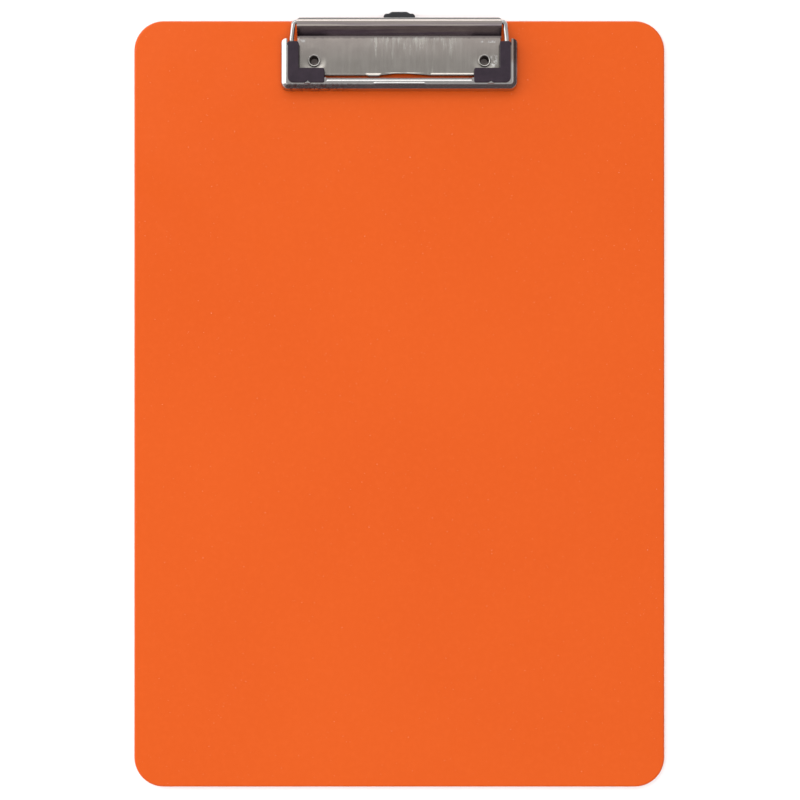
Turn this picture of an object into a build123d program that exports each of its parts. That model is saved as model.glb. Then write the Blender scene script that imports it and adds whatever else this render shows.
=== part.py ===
from build123d import *
import os
from math import cos, radians, sin, tan

# Clipboard with a low-profile wire-spring clip and a pull-out hanger, in millimetres.
# Origin at the centre of the board's back face: +X right, +Y to the clip end, +Z out of the writing face.
os.makedirs("parts", exist_ok=True)

# Board
BOARD_W = 228.6
BOARD_L = 330.2
BOARD_T = 3.0
BOARD_CORNER_R = 12.7
BOARD_EDGE_R = 0.9
TOP_Y = BOARD_L / 2

# Rivets: hollow shanks with a closed head at the back, rolled over into a dimple of the base plate
RIVET_X = 36.6
RIVET_V = 17.6
SHANK_R = 2.0
SHANK_GAP = 0.05
BORE_R = 1.65
BORE_FLOOR_Z = 1.3
HEAD_R = 4.0
HEAD_T = 0.8
HEAD_EDGE_R = 0.3
HEAD_RECESS = 0.1
HEAD_GAP = 0.2
ROLL_R = 2.75
ROLL_T = 0.7

# Base plate of the clip, one bent sheet
BASE_SHEET = 0.8
BASE_HALF_W = 44.0
BASE_TOP_H = 2.2
BASE_BEND_R = 1.2
FLAT_FRONT_V = 22.9
FLANGE_FRONT_V = 24.15
FLANGE_FOOT_H = 0.1
FRONT_LIP_RISE = 0.15
FRONT_LIP_R = 0.3
SIDE_FLANGE_V = (8.4, 22.2)
SIDE_FOOT_H = 0.05
SIDE_BEND_R = 0.75
HINGE_V = 1.55
HINGE_H = 4.5
CURL_START = -130
SHOULDER_R = 2.7
RAMP_ANGLE = 45
CORNER_CUT = 1.3
DIMPLE_R = 4.8
DIMPLE_FLOOR_R = 3.2
DIMPLE_DEPTH = 0.3
DIMPLE_RIM = 0.4
FINGER_X = (7.2, 9.2)
FINGER_V = (1.75, 2.55)
FINGER_H = (0.05, 3.0)
ARCH_HALF_W = 14.0
ARCH_SHOULDER = 1.5
ARCH_SHOULDER_H = 0.8
ARCH_CROWN_H = 1.3
ARCH_CROWN_HALF_W = 4.0

# Spring wire
WIRE_R = 1.0
WIRE_GAP = 0.06
TAIL_END_X = 2.0
TAIL_CORNER_X = 45.2
ARM_X = 46.1
ARM_KNEE_V = 9.0
TAIL_BEND_R = 1.5
ARM_KNEE_R = 12
FRONT_BEND_R = 3.0
WIRE_FRONT_V = 27.3

# Jaw, one drawn sheet
JAW_SHEET = 0.7
JAW_HALF_W = 50.9
JAW_FRONT_V = 30.45
JAW_REAR_V = 9.0
JAW_FOOT_H = 0.4
JAW_TOP_H = 6.25
JAW_TAPER = 3
JAW_CORNER_R = 3.4
JAW_TOP_CORNER_R = 3.1
JAW_REACH = 4.0
JAW_SPARE = 0.02
ARM_KNEE_H = 4.7
ARM_TOP_X = 48.5
ARM_BEND_R = 1.5
BAR_KNEE_H = 4.35
BAR_TOP_V = 28.4
BAR_BEND_R = 0.8
JAW_HEEL_R = 2.4
WINDOW_HALF_W = 44.6
WINDOW_FRONT_V = 25.7
HEEL_HALF_W = 47.6
HEEL_V = 12.0
HEM_HALF_L = 31.0
HEM_END = -75
BEAD_HALF_L = 10.9
BEAD_R = 0.42
BEAD_RISE = 0.15
BEAD_V = 28.1
TOOTH_X = 39.2
TOOTH_HALF_W = 1.7
TOOTH_TIP_V = 27.1
TOOTH_FOOT_V = 28.3
TOOTH_H = 0.5

# Rubber grip pads, an L that clips over the jaw's window edge
PAD_TOP_H = 6.95
PAD_FOOT_H = 0.1
PAD_GAP = 0.05
LIP_IN_X = 43.0
LIP_OUT_X = 47.6
LIP_REAR_V = 10.2
LIP_FRONT_V = 27.8
LIP_END_X = 32.0
LIP_BAR_V = 21.6
LIP_CORNER_R = 2.2
LIP_END_R = 0.7
LIP_EDGE_R = 0.25
WEB_FOOT_H = 2.6
BLOCK_IN_X = 44.5
BLOCK_OUT_X = 48.0
BLOCK_REAR_V = 24.6
BLOCK_FRONT_V = 28.3
BLOCK_CORNER_R = 2.6
WALL_TOP_H = 4.4
SHELF_FRONT_V = 27.5
WIRE_GROOVE_R = 1.05

# Pull-out hanger
HANGER_T = 1.2
HANGER_FOOT_H = 0.1
NECK_HALF_W = 6.8
NECK_REAR_V = -2.8
NECK_CORNER_R = 1.4
TEE_HALF_W = 12.0
TEE_V = (18.6, 21.8)
TEE_CORNER_R = 0.6
PULL_HALF_W = 4.0
PULL_V = (-3.6, -0.25)
PULL_DROP = 2.2
PULL_CORNER_R = 1.3
HANG_HOLE_R = 3.5
HANG_HOLE_V = 5.5

SIDES = (-1, 1)
FIND = 0.01


def at(v):
    """Y of a line that lies v in from the board's clip-end edge."""
    return TOP_Y - v


def high(h):
    """Z of a height h above the writing face."""
    return BOARD_T + h


def span(x0, x1, v0, v1):
    """Centre and size of the plan rectangle between two x and two v."""
    centre = ((x0 + x1) / 2, at((v0 + v1) / 2))
    return centre, abs(x1 - x0), abs(v1 - v0)


def upright_plane(x, y):
    """Plane through a vertical axis whose sketch coordinates are radius and height."""
    return Plane((x, y, 0), x_dir=(1, 0, 0), z_dir=(0, -1, 0))


RIVET_POINTS = [(side * RIVET_X, at(RIVET_V)) for side in SIDES]
HINGE = (at(HINGE_V), high(HINGE_H))
WIRE_Z = high(HINGE_H)

with BuildPart() as board:
    with BuildSketch(Plane.XY):
        RectangleRounded(BOARD_W, BOARD_L, BOARD_CORNER_R)
    extrude(amount=BOARD_T)
    slab_edges = board.edges()
    fillet(slab_edges.group_by(Axis.Z)[0] + slab_edges.group_by(Axis.Z)[-1], BOARD_EDGE_R)
    # rivet holes, counterbored at the back so that the heads lie below the face
    with BuildSketch(Plane.XY):
        with Locations(*RIVET_POINTS):
            Circle(SHANK_R + SHANK_GAP)
    extrude(amount=BOARD_T, mode=Mode.SUBTRACT)
    with BuildSketch(Plane.XY):
        with Locations(*RIVET_POINTS):
            Circle(HEAD_R + HEAD_GAP)
    extrude(amount=HEAD_RECESS + HEAD_T, mode=Mode.SUBTRACT)
board.part.label = "board"
export_step(board.part, "parts/board.step")

CURL_R = WIRE_R + WIRE_GAP
shoulder = (HINGE[0], HINGE[1] + CURL_R - SHOULDER_R)
ramp_turn = radians(90 + RAMP_ANGLE)
ramp_start = (shoulder[0] + SHOULDER_R * cos(ramp_turn), shoulder[1] + SHOULDER_R * sin(ramp_turn))
under = high(BASE_TOP_H - BASE_SHEET)
ramp_end = (ramp_start[0] - (ramp_start[1] - under) / tan(radians(RAMP_ANGLE)), under)
flat_middle = (at(FLAT_FRONT_V / 2), under)
flat_end = (at(FLAT_FRONT_V), under)
flange_y = at(FLANGE_FRONT_V - BASE_SHEET)
lip_top = (flange_y, under + FRONT_LIP_RISE)
flange_end = (flange_y, high(FLANGE_FOOT_H))

with BuildPart() as clip_base:
    # the sheet's inner line: the curl round the wire, the shoulder, the ramp, the flat, its raised lip and the flange
    with BuildSketch(Plane.YZ):
        with BuildLine():
            CenterArc(HINGE, CURL_R, CURL_START, 90 - CURL_START)
            CenterArc(shoulder, SHOULDER_R, 90, RAMP_ANGLE)
            FilletPolyline(ramp_start, ramp_end, flat_middle, radius=BASE_BEND_R)
            FilletPolyline(flat_middle, flat_end, lip_top, flange_end, radius=FRONT_LIP_R)
            offset(amount=BASE_SHEET, side=Side.RIGHT, closed=True)
        make_face()
    extrude(amount=BASE_HALF_W, both=True)
    # side flanges, turned down to the board
    with BuildSketch(Plane.XY.offset(high(SIDE_FOOT_H))):
        for side in SIDES:
            inner_x = side * (BASE_HALF_W - BASE_SHEET)
            centre, width, length = span(inner_x, side * BASE_HALF_W, *SIDE_FLANGE_V)
            with Locations(centre):
                Rectangle(width, length)
    extrude(amount=BASE_TOP_H - BASE_SHEET / 2 - SIDE_FOOT_H)
    flat_ends = clip_base.edges().filter_by(Axis.Y).filter_by_position(
        Axis.Z, high(BASE_TOP_H - FIND), high(BASE_TOP_H + FIND)
    )
    fillet(flat_ends, SIDE_BEND_R)
    # fingers on the curl's hidden edge, beside the hanger's neck: they guide it and stop its tee
    with BuildSketch(Plane.XY.offset(high(FINGER_H[0]))):
        for side in SIDES:
            centre, width, length = span(side * FINGER_X[0], side * FINGER_X[1], *FINGER_V)
            with Locations(centre):
                Rectangle(width, length)
    extrude(amount=FINGER_H[1] - FINGER_H[0])
    # the curl's rear corners are nipped off
    with BuildSketch(Plane.XY.offset(BOARD_T)):
        for side in SIDES:
            rear = at(HINGE_V) + CURL_R + BASE_SHEET
            tip = (side * BASE_HALF_W, rear)
            along = (side * (BASE_HALF_W - CORNER_CUT), rear)
            inward = (side * BASE_HALF_W, rear - CORNER_CUT)
            with BuildLine():
                Polyline(tip, along, inward, close=True)
            make_face()
    extrude(amount=2 * HINGE_H, mode=Mode.SUBTRACT)
    # arch through the front flange
    with BuildSketch(Plane.XZ.offset(-at(FLAT_FRONT_V))):
        with BuildLine():
            left_half = (
                (-ARCH_HALF_W, BOARD_T),
                (-ARCH_HALF_W + ARCH_SHOULDER, high(ARCH_SHOULDER_H)),
                (-ARCH_CROWN_HALF_W, high(ARCH_CROWN_H)),
            )
            Polyline([*left_half, *((-x, z) for x, z in reversed(left_half))], close=True)
        make_face()
    extrude(amount=4 * BASE_SHEET, mode=Mode.SUBTRACT)
    # shallow conical dimples that seat the rivets
    with BuildSketch(Plane.XY.offset(BOARD_T)):
        with Locations(*RIVET_POINTS):
            Circle(DIMPLE_R)
    extrude(amount=BASE_TOP_H, mode=Mode.SUBTRACT)
    hole_r = SHANK_R + SHANK_GAP
    rim_r = DIMPLE_R + DIMPLE_RIM
    floor_h = BASE_TOP_H - DIMPLE_DEPTH
    dimple_outline = (
        (hole_r, high(floor_h - BASE_SHEET)),
        (DIMPLE_FLOOR_R, high(floor_h - BASE_SHEET)),
        (DIMPLE_R, under),
        (rim_r, under),
        (rim_r, high(BASE_TOP_H)),
        (DIMPLE_R, high(BASE_TOP_H)),
        (DIMPLE_FLOOR_R, high(floor_h)),
        (hole_r, high(floor_h)),
    )
    for point in RIVET_POINTS:
        with BuildSketch(upright_plane(*point)):
            with BuildLine():
                Polyline(dimple_outline, close=True)
            make_face()
        revolve(axis=Axis((*point, 0), (0, 0, 1)))
clip_base.part.label = "clip_base"
export_step(clip_base.part, "parts/clip_base.step")

with BuildPart() as spring_wire:
    with BuildLine(Plane.XY.offset(WIRE_Z)) as run:
        tail_end = (TAIL_END_X, HINGE[0])
        tail_corner = (TAIL_CORNER_X, HINGE[0])
        knee = (ARM_X, at(ARM_KNEE_V))
        corners = [tail_end, tail_corner, knee, (ARM_X, at(WIRE_FRONT_V))]
        mirrored = [(-x, y) for x, y in reversed(corners)]
        Polyline(corners + mirrored)
        for (x, y), bend_r in zip(corners[1:], (TAIL_BEND_R, ARM_KNEE_R, FRONT_BEND_R)):
            fillet(
                run.vertices().filter_by(lambda p: abs(abs(p.X) - x) < FIND and abs(p.Y - y) < FIND),
                bend_r,
            )
    with BuildSketch(Plane((TAIL_END_X, HINGE[0], WIRE_Z), z_dir=(1, 0, 0))):
        Circle(WIRE_R)
    sweep(path=run.wire())
spring_wire.part.label = "spring_wire"
export_step(spring_wire.part, "parts/spring_wire.step")

HEM_AXIS = (at(WIRE_FRONT_V), WIRE_Z)


def tapered(x, h):
    """How far a wall that stands at x at the jaw's foot leans in to at height h."""
    return x - (h - JAW_FOOT_H) * tan(radians(JAW_TAPER))


def tray(inset):
    """The jaw's drawn tray as a solid, or its hollow when the walls are inset by the sheet."""
    wall_in = inset / cos(radians(JAW_TAPER))
    with BuildPart() as block:
        for h, corner_r in ((JAW_FOOT_H, JAW_CORNER_R), (JAW_TOP_H - inset, JAW_TOP_CORNER_R)):
            half_w = tapered(JAW_HALF_W, h) + JAW_SPARE - wall_in
            front_v = tapered(JAW_FRONT_V, h) + JAW_SPARE - wall_in
            rear_v = JAW_REAR_V - JAW_REACH + inset
            centre, width, length = span(-half_w, half_w, rear_v, front_v)
            with BuildSketch(Plane.XY.offset(high(h))):
                with Locations(centre):
                    RectangleRounded(width, length, corner_r - inset)
        loft()
        # sloping shoulders along both arms and along the bar
        low_h = -JAW_FOOT_H
        half = (
            (tapered(JAW_HALF_W, low_h), high(low_h)),
            (tapered(JAW_HALF_W, ARM_KNEE_H), high(ARM_KNEE_H)),
            (ARM_TOP_X, high(JAW_TOP_H)),
        )
        arms_outline = [*half, *((-x, z) for x, z in reversed(half))]
        far_y = at(JAW_REAR_V - 2 * JAW_REACH)
        bar_outline = [
            (far_y, high(low_h)),
            (at(tapered(JAW_FRONT_V, low_h)), high(low_h)),
            (at(tapered(JAW_FRONT_V, BAR_KNEE_H)), high(BAR_KNEE_H)),
            (at(BAR_TOP_V), high(JAW_TOP_H)),
            (far_y, high(JAW_TOP_H)),
        ]
        outlines = ((Plane.XZ, arms_outline, ARM_BEND_R), (Plane.YZ, bar_outline, BAR_BEND_R))
        for plane, corners, bend_r in outlines:
            with BuildSketch(plane) as outline:
                with BuildLine():
                    Polyline(corners, close=True)
                make_face()
                bends = outline.vertices().filter_by(lambda p: p.Y > high(0) and p.X < at(JAW_REAR_V))
                fillet(bends, bend_r)
                if inset:
                    offset(amount=-inset, mode=Mode.REPLACE)
            extrude(amount=BOARD_L, both=True, mode=Mode.INTERSECT)
    return block.part


with BuildPart() as clip_jaw:
    # drawn tray, closed at the rear until the window and the heels are cut
    add(tray(0))
    add(tray(JAW_SHEET), mode=Mode.SUBTRACT)
    # the tray's rear is cut off square
    with BuildSketch(Plane.XY.offset(BOARD_T)):
        centre, width, length = span(-JAW_HALF_W, JAW_HALF_W, JAW_REAR_V - 2 * JAW_REACH, JAW_REAR_V)
        with Locations(centre):
            Rectangle(width, length)
    extrude(amount=2 * JAW_TOP_H, mode=Mode.SUBTRACT)
    # window over the base plate, wider at the heels and deeper where the bar is rolled round the wire
    with BuildSketch(Plane.XY.offset(high(JAW_TOP_H - 2 * JAW_SHEET))):
        for half_w, front_v in (
            (WINDOW_HALF_W, WINDOW_FRONT_V),
            (HEEL_HALF_W, HEEL_V),
            (HEM_HALF_L, WIRE_FRONT_V),
        ):
            centre, width, length = span(-half_w, half_w, JAW_REAR_V - JAW_REACH, front_v)
            with Locations(centre):
                Rectangle(width, length)
    extrude(amount=4 * JAW_SHEET, mode=Mode.SUBTRACT)
    # hem rolled back and down round the wire's front run
    with BuildSketch(Plane.YZ):
        with BuildLine():
            inner = CenterArc(HEM_AXIS, JAW_TOP_H - JAW_SHEET - HINGE_H, HEM_END, 90 - HEM_END)
            outer = CenterArc(HEM_AXIS, JAW_TOP_H - HINGE_H, HEM_END, 90 - HEM_END)
            Line(inner @ 0, outer @ 0)
            Line(inner @ 1, outer @ 1)
        make_face()
    extrude(amount=HEM_HALF_L, both=True)
    # heels rounded at the foot of the skirt
    with BuildSketch(Plane.YZ):
        foot = (at(JAW_REAR_V), high(JAW_FOOT_H))
        with BuildLine():
            heel_top = (foot[0], foot[1] + JAW_HEEL_R)
            heel_front = (foot[0] - JAW_HEEL_R, foot[1])
            RadiusArc(heel_top, heel_front, JAW_HEEL_R)
            Polyline(heel_top, (foot[0] + 1, heel_top[1]), (foot[0] + 1, foot[1] - 1))
            Polyline((foot[0] + 1, foot[1] - 1), (heel_front[0], foot[1] - 1), heel_front)
        make_face()
    extrude(amount=JAW_HALF_W + 1, both=True, mode=Mode.SUBTRACT)
    # teeth that stake the grip pads
    with BuildSketch(Plane.XY.offset(high(JAW_TOP_H - JAW_SHEET / 2))):
        for side in SIDES:
            left = (side * TOOTH_X - TOOTH_HALF_W, at(TOOTH_FOOT_V))
            right = (side * TOOTH_X + TOOTH_HALF_W, at(TOOTH_FOOT_V))
            with BuildLine():
                Polyline(left, right, (side * TOOTH_X, at(TOOTH_TIP_V)), close=True)
            make_face()
    extrude(amount=TOOTH_H + JAW_SHEET / 2)
    # bead along the middle of the bar
    with BuildSketch(Plane.YZ):
        with Locations((at(BEAD_V), high(JAW_TOP_H) - BEAD_R + BEAD_RISE)):
            Circle(BEAD_R)
    extrude(amount=BEAD_HALF_L, both=True)
clip_jaw.part.label = "clip_jaw"
export_step(clip_jaw.part, "parts/clip_jaw.step")


SLOT_FOOT_H = JAW_TOP_H - JAW_SHEET - PAD_GAP
SLOT_TOP_H = JAW_TOP_H + PAD_GAP
SLOT_IN_X = WINDOW_HALF_W - PAD_GAP
SLOT_BAR_V = WINDOW_FRONT_V - PAD_GAP
PLUG_OUT_X = HEEL_HALF_W - PAD_GAP
PLUG_FRONT_V = HEEL_V - PAD_GAP
# each layer: foot height, top height, then its plan rectangles as inner x, outer x, rear v, front v
PAD_LAYERS = (
    (
        (PAD_FOOT_H, WALL_TOP_H),
        (BLOCK_IN_X, BLOCK_OUT_X, LIP_REAR_V, BLOCK_FRONT_V),
        (LIP_END_X, BLOCK_OUT_X, BLOCK_REAR_V, BLOCK_FRONT_V),
    ),
    (
        (WALL_TOP_H, SLOT_FOOT_H),
        (BLOCK_IN_X, LIP_OUT_X, LIP_REAR_V, SHELF_FRONT_V),
        (LIP_END_X, LIP_OUT_X, BLOCK_REAR_V, SHELF_FRONT_V),
    ),
    (
        (WEB_FOOT_H, SLOT_TOP_H),
        (LIP_IN_X, SLOT_IN_X, LIP_REAR_V, SLOT_BAR_V),
        (LIP_END_X, SLOT_IN_X, LIP_BAR_V, SLOT_BAR_V),
        (LIP_IN_X, PLUG_OUT_X, LIP_REAR_V, PLUG_FRONT_V),
    ),
    (
        (SLOT_TOP_H, PAD_TOP_H),
        (LIP_IN_X, LIP_OUT_X, LIP_REAR_V, LIP_FRONT_V),
        (LIP_END_X, LIP_OUT_X, LIP_BAR_V, LIP_FRONT_V),
    ),
)

with BuildPart() as left_grip_pad:
    # grip block, shelf, web through the window with its heel plug, and the lip over the jaw
    for (foot_h, top_h), *plans in PAD_LAYERS:
        with BuildSketch(Plane.XY.offset(high(foot_h))) as layer:
            for near_x, far_x, rear_v, front_v in plans:
                centre, width, length = span(-near_x, -far_x, rear_v, front_v)
                with Locations(centre):
                    Rectangle(width, length)
            corners = layer.vertices()
            outer_corner = corners.group_by(Axis.X)[0].sort_by(Axis.Y)[0]
            ends = corners.group_by(Axis.Y)[-1] + corners.group_by(Axis.X)[-1]
            is_lip = top_h == PAD_TOP_H
            fillet(ends, LIP_END_R)
            if top_h != SLOT_TOP_H:
                fillet(outer_corner, LIP_CORNER_R if is_lip else BLOCK_CORNER_R)
        extrude(amount=top_h - foot_h)
    fillet(left_grip_pad.edges().group_by(Axis.Z)[-1], LIP_EDGE_R)
    # groove for the wire, open to the jaw's sheet
    with BuildLine(Plane.XY.offset(WIRE_Z)) as groove_run:
        groove_rear = (-ARM_X, at(LIP_REAR_V - 1))
        groove_corner = (-ARM_X, at(WIRE_FRONT_V))
        groove_end = (-LIP_END_X + 1, at(WIRE_FRONT_V))
        FilletPolyline(groove_rear, groove_corner, groove_end, radius=FRONT_BEND_R)
    with BuildSketch(Plane((*groove_rear, WIRE_Z), x_dir=(1, 0, 0), z_dir=(0, -1, 0))):
        Circle(WIRE_GROOVE_R)
        with Locations((0, WIRE_GROOVE_R / 2)):
            Rectangle(2 * WIRE_GROOVE_R, WIRE_GROOVE_R)
    sweep(path=groove_run.wire(), mode=Mode.SUBTRACT)
    # notch for the jaw's tooth
    with BuildSketch(Plane.XY.offset(high(SLOT_TOP_H - PAD_GAP))):
        notch_half = TOOTH_HALF_W + 3 * PAD_GAP
        notch_foot = at(TOOTH_FOOT_V)
        with BuildLine():
            Polyline(
                (-TOOTH_X - notch_half, notch_foot),
                (-TOOTH_X + notch_half, notch_foot),
                (-TOOTH_X, at(TOOTH_TIP_V - 2 * PAD_GAP)),
                close=True,
            )
        make_face()
    extrude(amount=PAD_TOP_H, mode=Mode.SUBTRACT)
left_grip_pad.part.label = "left_grip_pad"
export_step(left_grip_pad.part, "parts/left_grip_pad.step")

with BuildPart() as right_grip_pad:
    mirror(left_grip_pad.part, about=Plane.YZ)
right_grip_pad.part.label = "right_grip_pad"
export_step(right_grip_pad.part, "parts/right_grip_pad.step")

HEAD_TOP_Z = HEAD_RECESS + HEAD_T
SEAT_Z = high(BASE_TOP_H - DIMPLE_DEPTH)
ROLL_EDGE_R = ROLL_T / 2
ROLL_TOP = (ROLL_R - ROLL_EDGE_R, SEAT_Z + ROLL_T)
ROLL_FOOT = (ROLL_R - ROLL_EDGE_R, SEAT_Z)
ROLL_SIDE = (ROLL_R, SEAT_Z + ROLL_EDGE_R)

with BuildPart() as left_rivet:
    # half section in radius and height: head, shank, rolled flange, funnel mouth and bore
    with BuildSketch(upright_plane(*RIVET_POINTS[0])):
        with BuildLine():
            Polyline(
                ROLL_FOOT,
                (SHANK_R, SEAT_Z),
                (SHANK_R, HEAD_TOP_Z),
                (HEAD_R, HEAD_TOP_Z),
                (HEAD_R, HEAD_RECESS + HEAD_EDGE_R),
                (HEAD_R - HEAD_EDGE_R, HEAD_RECESS),
                (0, HEAD_RECESS),
                (0, BORE_FLOOR_Z),
                (BORE_R, BORE_FLOOR_Z),
                (BORE_R, SEAT_Z),
            )
            TangentArc((BORE_R, SEAT_Z), ROLL_TOP, tangent=(0, 1))
            RadiusArc(ROLL_TOP, ROLL_SIDE, ROLL_EDGE_R)
            RadiusArc(ROLL_SIDE, ROLL_FOOT, ROLL_EDGE_R)
        make_face()
    revolve(axis=Axis((*RIVET_POINTS[0], 0), (0, 0, 1)))
left_rivet.part.label = "left_rivet"
export_step(left_rivet.part, "parts/left_rivet.step")

with BuildPart() as right_rivet:
    mirror(left_rivet.part, about=Plane.YZ)
right_rivet.part.label = "right_rivet"
export_step(right_rivet.part, "parts/right_rivet.step")

HANGER_FOOT_Z = high(HANGER_FOOT_H)

with BuildPart() as hanger:
    # flat tongue with a tee at its inner end
    with BuildSketch(Plane.XY.offset(HANGER_FOOT_Z)):
        centre, width, length = span(-NECK_HALF_W, NECK_HALF_W, NECK_REAR_V, TEE_V[1])
        with Locations(centre):
            RectangleRounded(width, length, NECK_CORNER_R)
        centre, width, length = span(-TEE_HALF_W, TEE_HALF_W, *TEE_V)
        with Locations(centre):
            RectangleRounded(width, length, TEE_CORNER_R)
    extrude(amount=HANGER_T)
    # pull lip that hooks over the board's edge
    with BuildSketch(Plane.XY.offset(HANGER_FOOT_Z - PULL_DROP)):
        centre, width, length = span(-PULL_HALF_W, PULL_HALF_W, *PULL_V)
        with Locations(centre):
            RectangleRounded(width, length, PULL_CORNER_R)
    extrude(amount=PULL_DROP + HANGER_T)
    # hole for a nail, clear of the clip when the hanger is pulled out
    with BuildSketch(Plane.XY.offset(HANGER_FOOT_Z)):
        with Locations((0, at(HANG_HOLE_V))):
            Circle(HANG_HOLE_R)
    extrude(amount=HANGER_T, mode=Mode.SUBTRACT)
hanger.part.label = "hanger"
export_step(hanger.part, "parts/hanger.step")
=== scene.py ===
import math

import bmesh
import bpy
import numpy as np
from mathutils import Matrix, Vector


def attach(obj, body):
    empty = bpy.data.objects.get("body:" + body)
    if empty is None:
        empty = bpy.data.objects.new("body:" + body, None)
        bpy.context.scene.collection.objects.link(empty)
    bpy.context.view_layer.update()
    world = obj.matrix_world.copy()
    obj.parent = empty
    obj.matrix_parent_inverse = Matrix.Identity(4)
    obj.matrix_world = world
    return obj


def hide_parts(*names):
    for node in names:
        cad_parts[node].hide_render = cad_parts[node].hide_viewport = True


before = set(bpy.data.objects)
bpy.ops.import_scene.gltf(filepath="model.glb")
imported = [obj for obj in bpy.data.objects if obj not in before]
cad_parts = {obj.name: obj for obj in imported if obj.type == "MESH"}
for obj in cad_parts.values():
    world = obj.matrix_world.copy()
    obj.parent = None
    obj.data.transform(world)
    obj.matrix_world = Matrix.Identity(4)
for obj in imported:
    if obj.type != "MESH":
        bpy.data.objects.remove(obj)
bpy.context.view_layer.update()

# Shapes are worked out in millimetres in the row frame and scaled by MM as their meshes are made.
# Materials, floor, lights and camera are in metres.
# v is the distance in from the board's clip-end edge, h the height above the writing face.
MM = 0.001
BOARD_T = 3.0
TOP_Y = 165.1
SIDES = (-1, 1)

ROOT = "board_and_base"
JAW = "jaw"
HANGER = "hanger"


def at(v):
    return TOP_Y - v


def high(h):
    return BOARD_T + h


# ---- mesh helpers

# points closer than this are one point, and edges shorter than this are dropped, in metres
WELD, SHORTEST = 1e-6, 1e-7


def shade(bm, smooth_deg):
    """Shades every face smooth and marks the edges that turn by more than smooth_deg as sharp."""
    limit = math.radians(smooth_deg)
    for face in bm.faces:
        face.smooth = True
    for edge in bm.edges:
        edge.smooth = not (edge.is_manifold and edge.calc_face_angle(0.0) > limit)


def new_mesh(name, verts, faces, material, smooth_deg=40.0):
    """A mesh object from points in millimetres, smooth except across edges sharper than smooth_deg."""
    mesh = bpy.data.meshes.new(name)
    mesh.from_pydata([tuple(float(c) * MM for c in p) for p in verts], [], faces)
    mesh.validate(clean_customdata=False)
    mesh.update()
    bm = bmesh.new()
    bm.from_mesh(mesh)
    bmesh.ops.remove_doubles(bm, verts=bm.verts, dist=WELD)
    bmesh.ops.dissolve_degenerate(bm, edges=bm.edges, dist=SHORTEST)
    bmesh.ops.recalc_face_normals(bm, faces=bm.faces)
    shade(bm, smooth_deg)
    bm.to_mesh(mesh)
    bm.free()
    obj = bpy.data.objects.new(name, mesh)
    bpy.context.scene.collection.objects.link(obj)
    mesh.materials.append(material)
    return obj


def baked(obj):
    """The object's own mesh with its modifiers applied."""
    graph = bpy.context.evaluated_depsgraph_get()
    graph.update()
    mesh = bpy.data.meshes.new_from_object(obj.evaluated_get(graph))
    old = obj.data
    obj.modifiers.clear()
    obj.data = mesh
    bpy.data.meshes.remove(old)
    return obj


def resharpen(obj, smooth_deg):
    """Marks the sharp edges again after a modifier has changed the mesh."""
    bm = bmesh.new()
    bm.from_mesh(obj.data)
    shade(bm, smooth_deg)
    bm.to_mesh(obj.data)
    bm.free()


def solidify(obj, thickness, rounding, even=True):
    """Gives an open sheet its thickness on the side away from its normals, with softened cut edges."""
    mod = obj.modifiers.new("sheet", "SOLIDIFY")
    mod.thickness = thickness * MM
    mod.offset = -1.0
    mod.use_even_offset = even
    mod.use_quality_normals = True
    baked(obj)
    soften(obj, rounding)
    resharpen(obj, 40)
    return obj


def soften(obj, width):
    """Rounds the sheet's cut edges, the only ones that turn by more than 55 degrees."""
    mod = obj.modifiers.new("soft", "BEVEL")
    mod.width = width * MM
    mod.segments = 3
    mod.limit_method = "ANGLE"
    mod.angle_limit = math.radians(55)
    mod.use_clamp_overlap = True
    mod.miter_outer = "MITER_ARC"
    baked(obj)
    return obj


def flat_faces_true(obj):
    """Weights the normals by area, so that flat faces shade flat up to their soft edges."""
    mod = obj.modifiers.new("weighted", "WEIGHTED_NORMAL")
    mod.mode = "FACE_AREA"
    mod.weight = 80
    mod.keep_sharp = True
    return obj


def place(obj, body, nodes):
    """Sets the piece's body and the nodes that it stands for."""
    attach(obj, body)
    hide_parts(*nodes)
    return obj


def arc(centre, radius, start_deg, end_deg, step_deg=7.0):
    """Points on an arc, angles counted from the first axis."""
    count = max(2, int(math.ceil(abs(end_deg - start_deg) / step_deg)) + 1)
    turns = np.radians(np.linspace(start_deg, end_deg, count))
    return [(centre[0] + radius * math.cos(t), centre[1] + radius * math.sin(t)) for t in turns]


def filleted(points, radii, step=0.5, step_deg=7.0):
    """A polyline with rounded inner corners, as evenly spaced points."""
    points = [np.array(p, float) for p in points]
    out = [points[0]]
    for before, corner, after, radius in zip(points, points[1:], points[2:], radii):
        a = (before - corner) / np.linalg.norm(before - corner)
        b = (after - corner) / np.linalg.norm(after - corner)
        angle = math.acos(float(np.clip(a @ b, -1, 1)))
        reach = radius / math.tan(angle / 2)
        start, end = corner + a * reach, corner + b * reach
        middle = corner + (a + b) / np.linalg.norm(a + b) * radius / math.sin(angle / 2)
        count = max(2, int(math.ceil((180 - math.degrees(angle)) / step_deg)))
        t0 = math.atan2(*(start - middle)[::-1])
        t1 = math.atan2(*(end - middle)[::-1])
        turn = (t1 - t0 + math.pi) % (2 * math.pi) - math.pi
        out.extend(run(out[-1], start, step)[1:])
        for i in range(1, count + 1):
            t = t0 + turn * i / count
            out.append(middle + radius * np.array((math.cos(t), math.sin(t))))
    out.extend(run(out[-1], points[-1], step)[1:])
    return out


def run(a, b, step):
    """Evenly spaced points from a to b."""
    a, b = np.array(a, float), np.array(b, float)
    count = max(1, int(math.ceil(np.linalg.norm(b - a) / step)))
    return [a + (b - a) * i / count for i in range(count + 1)]


def clamped(t):
    return min(1.0, max(0.0, t))


def smooth_step(t):
    t = clamped(t)
    return t * t * (3 - 2 * t)


def smooth_window(x, start, end, blend=0.4):
    """One between start and end, falling smoothly to zero over the blend's width at each."""
    return smooth_step((x - start) / blend + 0.5) * smooth_step((end - x) / blend + 0.5)


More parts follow.
